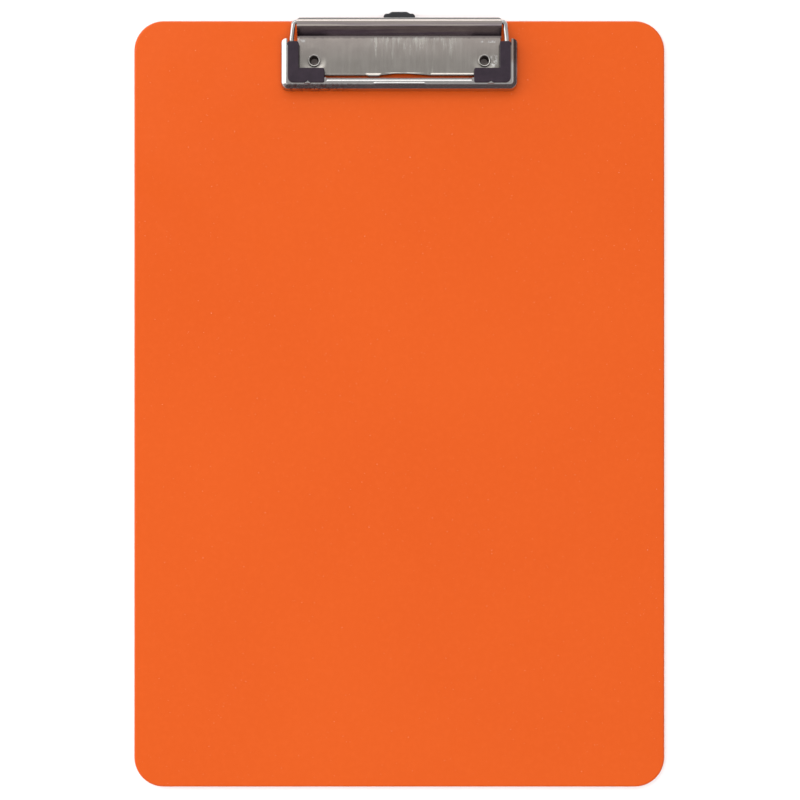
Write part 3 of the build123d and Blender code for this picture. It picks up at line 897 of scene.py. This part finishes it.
JAW_SHEET = 0.7
JAW_HALF_W, JAW_FRONT_V, JAW_REAR_V = 50.9, 30.45, 9.0
JAW_FOOT_H, JAW_TOP_H = 0.4, 6.25
JAW_CORNER = 3.4
JAW_HEEL = 2.4
TAPER = math.tan(math.radians(3))
ARM_KNEE_H, ARM_TOP_X, ARM_TOP_INWARD = 4.7, 48.5, 3.2
BAR_KNEE_H, BAR_TOP_V = 4.35, 28.4
TOP_REACH = 4.0
WINDOW_X, WINDOW_V, WINDOW_CORNER, HEEL_V = 44.6, 25.7, 0.25, 12.0
HEM_X, HEM_R, HEM_START, HEM_END = 31.0, 1.75, 88, -75
BEAD_X, BEAD_V, BEAD_HALF_W, BEAD_RISE, BEAD_FROM_H = 10.9, 28.1, 0.48, 0.16, 5.5
SKIRT_ROWS = 64
TOP_ROWS = 7
# neighbouring columns of different kinds stand this far apart
SEAM = 0.12


def resampled(points, count):
    """The same line with count evenly spaced points."""
    pts = np.array(points, float)
    along = np.concatenate(([0], np.cumsum(np.linalg.norm(np.diff(pts, axis=0), axis=1))))
    wanted = np.linspace(0, along[-1], count)
    return np.stack([np.interp(wanted, along, pts[:, k]) for k in (0, 1)], 1)


def jaw_sections():
    """The side's and the front's outer line, from the foot to the level top, as (distance in, height)."""
    foot, top = (0, JAW_FOOT_H), (TOP_REACH, JAW_TOP_H)
    knee = ((ARM_KNEE_H - JAW_FOOT_H) * TAPER, ARM_KNEE_H)
    shoulder = (JAW_HALF_W - ARM_TOP_X, JAW_TOP_H)
    side = filleted([foot, knee, shoulder, top], (1.5, 1.5), 0.2, 4)
    side = [p for p in side if p[0] < ARM_TOP_INWARD]
    knee = ((BAR_KNEE_H - JAW_FOOT_H) * TAPER, BAR_KNEE_H)
    shoulder = (JAW_FRONT_V - BAR_TOP_V, JAW_TOP_H)
    front = filleted([foot, knee, shoulder, top], (0.8, 0.8), 0.1, 5)
    front = [p for p in front if p[0] < JAW_FRONT_V - WIRE_FRONT_V]
    return resampled(side, SKIRT_ROWS), resampled(front, SKIRT_ROWS)


def arm_end(inward, height):
    """Where the arm's rear end lies: rounded at its foot, and at both corners of its top in plan."""
    def rounding(radius, reach):
        return radius * (1 - math.sqrt(1 - clamped(reach) ** 2))
    foot = rounding(JAW_HEEL, (JAW_FOOT_H + JAW_HEEL - height) / JAW_HEEL)
    outer_corner = rounding(2.2, 1 - (inward - 0.22) / 2.0)
    inner_corner = rounding(0.6, (inward - 2.3) / 1.0)
    return JAW_REAR_V + max(foot, outer_corner, inner_corner)


def jaw_columns():
    """Columns round the jaw: kind, foot (x, v), way in, share of the front's section, goal on the window."""
    corner_x, corner_v = JAW_HALF_W - JAW_CORNER, JAW_FRONT_V - JAW_CORNER
    goal_corner = (WINDOW_X - WINDOW_CORNER, WINDOW_V - WINDOW_CORNER)
    cols = []
    for v in np.linspace(JAW_REAR_V, HEEL_V - SEAM, 13):
        cols.append(("heel", (JAW_HALF_W, v), (-1, 0), 0.0, None))
    for v in np.linspace(HEEL_V, corner_v, 30):
        goal_v = HEEL_V + (v - HEEL_V) * (goal_corner[1] - HEEL_V) / (corner_v - HEEL_V)
        cols.append(("flange", (JAW_HALF_W, v), (-1, 0), 0.0, (WINDOW_X, goal_v)))
    for t in np.linspace(0, 90, 22)[1:-1]:
        c, s = math.cos(math.radians(t)), math.sin(math.radians(t))
        foot = (corner_x + JAW_CORNER * c, corner_v + JAW_CORNER * s)
        goal = (goal_corner[0] + WINDOW_CORNER * c, goal_corner[1] + WINDOW_CORNER * s)
        cols.append(("flange", foot, (-c, -s), smooth_step(t / 90), goal))
    seam_x = HEM_X + SEAM
    for x in np.linspace(corner_x, seam_x, 34):
        goal_x = seam_x + (x - seam_x) * (goal_corner[0] - seam_x) / (corner_x - seam_x)
        cols.append(("flange", (x, JAW_FRONT_V), (0, -1), 1.0, (goal_x, WINDOW_V)))
    for x in np.linspace(HEM_X, 0, 63):
        cols.append(("hem", (x, JAW_FRONT_V), (0, -1), 1.0, None))
    for kind, foot, way, share, goal in reversed(cols[:-1]):
        cols.append((kind, (-foot[0], foot[1]), (-way[0], way[1]), share, goal and (-goal[0], goal[1])))
    return cols


def bead_rise(x, v, h):
    """The slim bead pressed up along the middle of the bar's top."""
    across = (v - BEAD_V) / BEAD_HALF_W
    if abs(across) >= 1 or h <= BEAD_FROM_H:
        return 0.0
    return BEAD_RISE * (1 - across ** 2) ** 1.5 * smooth_step((BEAD_X - abs(x)) / 0.6)


def make_jaw():
    """The drawn frame: a skirt all round, a level top to the window, and the bar's hem round the wire."""
    side_line, front_line = jaw_sections()
    cols = jaw_columns()
    b = Build()
    grid, extra = {}, {}
    for c, (kind, foot, way, share, goal) in enumerate(cols):
        line = side_line * (1 - share) + front_line * share
        inwards, heights = line[:, 0], line[:, 1]
        for r in range(SKIRT_ROWS):
            x, v, h = foot[0] + way[0] * inwards[r], foot[1] + way[1] * inwards[r], heights[r]
            if kind == "heel":
                rear = arm_end(inwards[r], heights[r])
                v = HEEL_V - (HEEL_V - v) * (HEEL_V - rear) / (HEEL_V - JAW_REAR_V)
            if kind == "hem":
                h += bead_rise(x, v, h)
            grid[c, r] = len(b.verts)
            b.verts.append((x, at(v), high(h)))
        edge_x, edge_y, _ = b.verts[grid[c, SKIRT_ROWS - 1]]
        more = []
        if kind == "flange":
            goal_x, goal_y = goal[0], at(goal[1])
            for f in (i / TOP_ROWS for i in range(1, TOP_ROWS + 1)):
                more.append((edge_x + (goal_x - edge_x) * f, edge_y + (goal_y - edge_y) * f, high(JAW_TOP_H)))
        elif kind == "hem":
            for t in np.radians(np.linspace(HEM_START, HEM_END, 30)):
                v, h = WIRE_FRONT_V - HEM_R * math.cos(t), HINGE_H + HEM_R * math.sin(t)
                more.append((edge_x, at(v), high(h)))
        extra[c] = [grid[c, SKIRT_ROWS - 1]] + b.ring(more)
    for c in range(len(cols) - 1):
        for r in range(SKIRT_ROWS - 1):
            b.faces.append((grid[c, r], grid[c, r + 1], grid[c + 1, r + 1], grid[c + 1, r]))
        if cols[c][0] == cols[c + 1][0]:
            for i in range(len(extra[c]) - 1):
                b.faces.append((extra[c][i], extra[c][i + 1], extra[c + 1][i + 1], extra[c + 1][i]))
    jaw = new_mesh("jaw_sheet", b.verts, b.faces, JAW_MAT, 40)
    turn_outwards(jaw)
    solidify(jaw, JAW_SHEET, 0.1, even=False)
    return place(jaw, JAW, ["clip_jaw"])


make_jaw()

TOOTH_X, TOOTH_HALF_W, TOOTH_FOOT_V, TOOTH_TIP_V = 39.2, 1.7, 28.3, 27.1
TOOTH_H = (5.9, 6.75)


def tooth_plan(side, half_w, tip_v, radii):
    """A pointed plan with its tip to the rear."""
    middle = side * TOOTH_X
    corners = [(middle - half_w, at(TOOTH_FOOT_V)), (middle + half_w, at(TOOTH_FOOT_V)), (middle, at(tip_v))]
    return rounded_polygon(ccw(corners), radii, 3)


def make_tooth(side):
    """A pressed-up lug with a pointed plan."""
    plan = tooth_plan(side, TOOTH_HALF_W, TOOTH_TIP_V, (0.1, 0.1, 0.1))
    name = "jaw_tooth_" + word_for(side)
    tooth = soft_prism(name, plan, high(TOOTH_H[0]), high(TOOTH_H[1]), 0.05, 0.18, JAW_MAT)
    return place(tooth, JAW, ["clip_jaw"])


for side in SIDES:
    make_tooth(side)

# ---- grip pads

PAD_TOP_H, PAD_FOOT_H = 6.95, 0.12
PAD_REAR_V, PAD_END_X = 10.2, 32.0
LIP_IN_X, LIP_OUT_X, LIP_BAR_V, LIP_FRONT_V, LIP_FOOT_H = 43.0, 47.6, 21.6, 27.8, 6.28
WEB_OUT_X, WEB_FRONT_V, WEB_FOOT_H = 44.55, 25.65, 2.6
SHELF_IN_X, SHELF_BAR_V, SHELF_FRONT_V, SHELF_H = 44.3, 24.4, 27.5, (4.2, 5.5)
BLOCK_IN_X, BLOCK_OUT_X, BLOCK_BAR_V, BLOCK_FRONT_V, BLOCK_TOP_H = 44.5, 48.0, 24.6, 28.3, 4.4
PLUG_X, PLUG_FRONT_V, PLUG_FOOT_H = (43.4, 47.55), 11.95, 2.7
# where one layer of a pad runs into the next
JOIN_H = 6.4
GROOVE_R = 1.05


def pad_layer(name, side, heights, leg_x, bar_v, radii, edges):
    """An L-shaped layer; leg_x is its inner and outer x, bar_v the rear and front v of its bar."""
    (x0, x1), (v0, v1) = leg_x, bar_v
    points = [(x0, PAD_REAR_V), (x1, PAD_REAR_V), (x1, v1), (PAD_END_X, v1), (PAD_END_X, v0), (x0, v0)]
    corners = [(side * x, at(v)) for x, v in points]
    flipped = ccw(corners) is not corners
    outline = rounded_polygon(corners[::-1] if flipped else corners, radii[::-1] if flipped else radii)
    return soft_prism(name, outline, high(heights[0]), high(heights[1]), *edges, RUBBER_MAT)


def make_pad(side):
    """The lip over the jaw, the web through its window, and the shelf, block and plug below, in one piece."""
    word = word_for(side)
    lip = pad_layer(
        f"grip_{word}", side, (LIP_FOOT_H, PAD_TOP_H), (LIP_IN_X, LIP_OUT_X), (LIP_BAR_V, LIP_FRONT_V),
        (0.7, 0.7, 2.2, 0.7, 0.7, 0.35), (0.03, 0.26),
    )
    web = pad_layer(
        "web", side, (WEB_FOOT_H, JOIN_H), (LIP_IN_X, WEB_OUT_X), (LIP_BAR_V, WEB_FRONT_V),
        (0.7, 0.3, 0.3, 0.3, 0.7, 0.35), (0.2, 0.0),
    )
    shelf = pad_layer(
        "shelf", side, SHELF_H, (SHELF_IN_X, LIP_OUT_X), (SHELF_BAR_V, SHELF_FRONT_V),
        (0.3, 0.3, 2.2, 0.5, 0.5, 0.3), (0.0, 0.05),
    )
    block = pad_layer(
        "block", side, (PAD_FOOT_H, BLOCK_TOP_H), (BLOCK_IN_X, BLOCK_OUT_X), (BLOCK_BAR_V, BLOCK_FRONT_V),
        (0.6, 0.6, 2.6, 0.7, 0.7, 0.3), (0.3, 0.1),
    )
    plug_plan = rounded_rect(*sorted(side * x for x in PLUG_X), at(PLUG_FRONT_V), at(PAD_REAR_V), 0.5, 5)
    plug = soft_prism("plug", plug_plan, high(PLUG_FOOT_H), high(JOIN_H), 0.2, 0.0, RUBBER_MAT)
    combine(lip, [web, shelf, block, plug])
    # groove for the wire and notch for the jaw's tooth
    corners = [(side * ARM_X, at(8.0)), (side * ARM_X, at(WIRE_FRONT_V)), (side * 30.0, at(WIRE_FRONT_V))]
    path = filleted(corners, (FRONT_BEND_R,), 2.0, 6)
    channel = arc((0, 0), GROOVE_R, 180, 360, 10) + [(GROOVE_R, 1.06), (-GROOVE_R, 1.06)]
    groove = swept("groove", path, lambda i: ccw(channel), RUBBER_MAT)
    notch_plan = tooth_plan(side, TOOTH_HALF_W + 0.15, TOOTH_TIP_V - 0.1, (0.05, 0.05, 0.1))
    notch = soft_prism("notch", notch_plan, high(6.0), high(7.5), 0.0, 0.0, RUBBER_MAT)
    combine(lip, [groove, notch], "DIFFERENCE")
    resharpen(lip, 38)
    flat_faces_true(lip)
    return place(lip, JAW, [f"{word}_grip_pad"])


for side in SIDES:
    make_pad(side)

# ---- rivets

SHANK_R, BORE_R, BORE_FLOOR_Z = 2.0, 1.65, 1.3
HEAD_R, HEAD_EDGE, HEAD_FOOT_Z, HEAD_TOP_Z = 4.0, 0.45, 0.1, 0.9
ROLL_R, ROLL_AT = 0.35, (2.38, 5.27)


def make_rivet(word, centre):
    """A hollow rivet: flat closed head below, shank, lip rolled outwards and a funnel mouth."""
    flat_r = HEAD_R - HEAD_EDGE
    edge = arc((0, 0), HEAD_EDGE, -90, 0, 15)
    head = [(0, HEAD_FOOT_Z), (flat_r, HEAD_FOOT_Z)]
    head += [(flat_r + r, HEAD_FOOT_Z + HEAD_EDGE + z) for r, z in edge]
    head += [(HEAD_R, HEAD_TOP_Z - 0.08), (HEAD_R - 0.08, HEAD_TOP_Z), (SHANK_R, HEAD_TOP_Z)]
    neck = [(SHANK_R, 4.85), (2.12, 4.90)]
    roll = [(r + ROLL_AT[0], z + ROLL_AT[1]) for r, z in arc((0, 0), ROLL_R, -90, 90, 12)]
    mouth = [(2.20, 5.58), (2.02, 5.48), (1.88, 5.28), (1.78, 5.0), (1.70, 4.6), (BORE_R, 4.1)]
    floor_line = [(BORE_R, 1.5), (1.58, 1.36), (1.42, BORE_FLOOR_Z), (0, BORE_FLOOR_Z)]
    profile = head + neck + roll + mouth + floor_line
    rivet = lathe(f"rivet_{word}", profile, centre, RIVET_MAT, 80, 50)
    return place(rivet, ROOT, [f"{word}_rivet"])


for word, centre in zip(("left", "right"), RIVETS):
    make_rivet(word, centre)

# ---- hanger

TONGUE_H = (0.1, 1.3)
NECK_HALF_W, NECK_REAR_V = 6.8, -2.8
TEE_HALF_W, TEE_V = 12.0, (18.6, 21.8)
HANG_HOLE_V, HANG_HOLE_R = 5.5, 3.5
PULL_V, PULL_HALF_W, PULL_H = (-3.6, -0.25), 4.0, (-2.1, 1.29)


def make_hanger():
    """A tongue with a tee at its front end, a hanging hole and a thick pull at its rear end."""
    rear, front = TEE_V
    right = [(NECK_HALF_W, NECK_REAR_V), (NECK_HALF_W, rear), (TEE_HALF_W, rear), (TEE_HALF_W, front)]
    points = [(-x, v) for x, v in right] + right[::-1]
    outline = rounded_polygon(ccw([(x, at(v)) for x, v in points]), (1.4, 0.3, 0.6, 0.6, 0.6, 0.6, 0.3, 1.4))
    hole = ((0, at(HANG_HOLE_V)), HANG_HOLE_R)
    heights = [high(h) for h in TONGUE_H]
    tongue = soft_prism("hanger_tongue", outline, *heights, 0.15, 0.25, HANGER_MAT, holes=(hole,))
    # the pull is widest at its shoulders and narrows to its rear edge
    rear, front = PULL_V
    right = [(PULL_HALF_W, front), (PULL_HALF_W + 1.2, -2.5), (PULL_HALF_W - 0.8, rear)]
    plan = [(-PULL_HALF_W, front)] + right + [(-x, v) for x, v in right[:0:-1]]
    pull_plan = rounded_polygon(ccw([(x, at(v)) for x, v in plan]), (0.3, 0.3, 0.5, 0.8, 0.8, 0.5))
    pull = soft_prism("pull", pull_plan, high(PULL_H[0]), high(PULL_H[1]), 0.5, 0.3, HANGER_MAT)
    combine(tongue, [pull])
    resharpen(tongue, 38)
    flat_faces_true(tongue)
    return place(tongue, HANGER, ["hanger"])


make_hanger()

# ---- floor, lights, camera

FLOOR_REACH, FLOOR_Z = 20.0, -0.0005
WORLD_DARK = (0.115, 0.093, 0.098)
WORLD_LIT = (0.78, 0.78, 0.78)
WORLD_HEART = 0.54
CAMERA_AT = (0.0003, 0.00168, BOARD_T * MM + 0.700)
LENS, SENSOR = 73.1, 36.0


def floor():
    """A pale floor, wide enough to fill a low view."""
    mesh = bpy.data.meshes.new("floor")
    corners = ((-1, -1), (1, -1), (1, 1), (-1, 1))
    mesh.from_pydata([(x * FLOOR_REACH, y * FLOOR_REACH, FLOOR_Z) for x, y in corners], [], [(0, 1, 2, 3)])
    mat = bpy.data.materials.new("floor")
    mat.use_nodes = True
    bsdf = mat.node_tree.nodes["Principled BSDF"]
    bsdf.inputs["Base Color"].default_value = (0.97, 0.97, 0.97, 1)
    bsdf.inputs["Roughness"].default_value = 0.9
    mesh.materials.append(mat)
    obj = bpy.data.objects.new("floor", mesh)
    bpy.context.scene.collection.objects.link(obj)


def softbox(name, place_at, aim, size, watts):
    """A rectangular lamp at place_at, turned towards aim."""
    data = bpy.data.lights.new(name, "AREA")
    data.shape = "RECTANGLE"
    data.size, data.size_y = size
    data.energy = watts
    obj = bpy.data.objects.new(name, data)
    obj.location = place_at
    obj.rotation_euler = (Vector(aim) - Vector(place_at)).to_track_quat("-Z", "Y").to_euler()
    bpy.context.scene.collection.objects.link(obj)
    return obj


def studio_world():
    """Even soft light, dimmer low down towards -Y and +X, where a room falls away from the lamps."""
    world = bpy.data.worlds.new("studio")
    world.use_nodes = True
    n = Tree(world.node_tree)
    x, y, z = n.split(n.add("ShaderNodeTexCoord").outputs["Generated"])
    lean = n.plus(n.times(y, 0.78), n.times(x, -0.75))
    lit = n.ramp(n.plus(z, lean), -0.06, 0.10, interpolation_type="SMOOTHSTEP")
    # the space overhead is dimmer, a little towards -Y
    off = n.plus(n.maths("POWER", x, 2.0), n.maths("POWER", n.plus(y, 0.12), 2.0))
    lit = n.times(lit, n.ramp(off, 0.12, 0.36, WORLD_HEART, 1.0, interpolation_type="SMOOTHSTEP"))
    back = n.add("ShaderNodeBackground")
    n.link(n.mix(lit, WORLD_DARK, WORLD_LIT), back.inputs["Color"])
    n.link(back.outputs["Background"], n.add("ShaderNodeOutputWorld").inputs["Surface"])
    bpy.context.scene.world = world


floor()
studio_world()
softbox("rear_box", (-0.45, 1.1, 1.42), (0, 0.1, 0), (2.2, 0.75), 7.1)
softbox("left_box", (-1.4, 0.25, 0.62), (0, 0.05, 0), (1.2, 1.1), 5.4)
# a fill that lights the colours without showing up in the metal
softbox("front_fill", (0.1, -0.35, 1.65), (0, 0, 0), (1.4, 1.4), 11.5).visible_glossy = False

scene = bpy.context.scene
scene.view_settings.view_transform = "Standard"
scene.view_settings.exposure = 0.25
camera = bpy.data.cameras.new("camera")
camera.sensor_width = SENSOR
camera.lens = LENS
camera_obj = bpy.data.objects.new("camera", camera)
camera_obj.location = CAMERA_AT
scene.collection.objects.link(camera_obj)
scene.camera = camera_obj
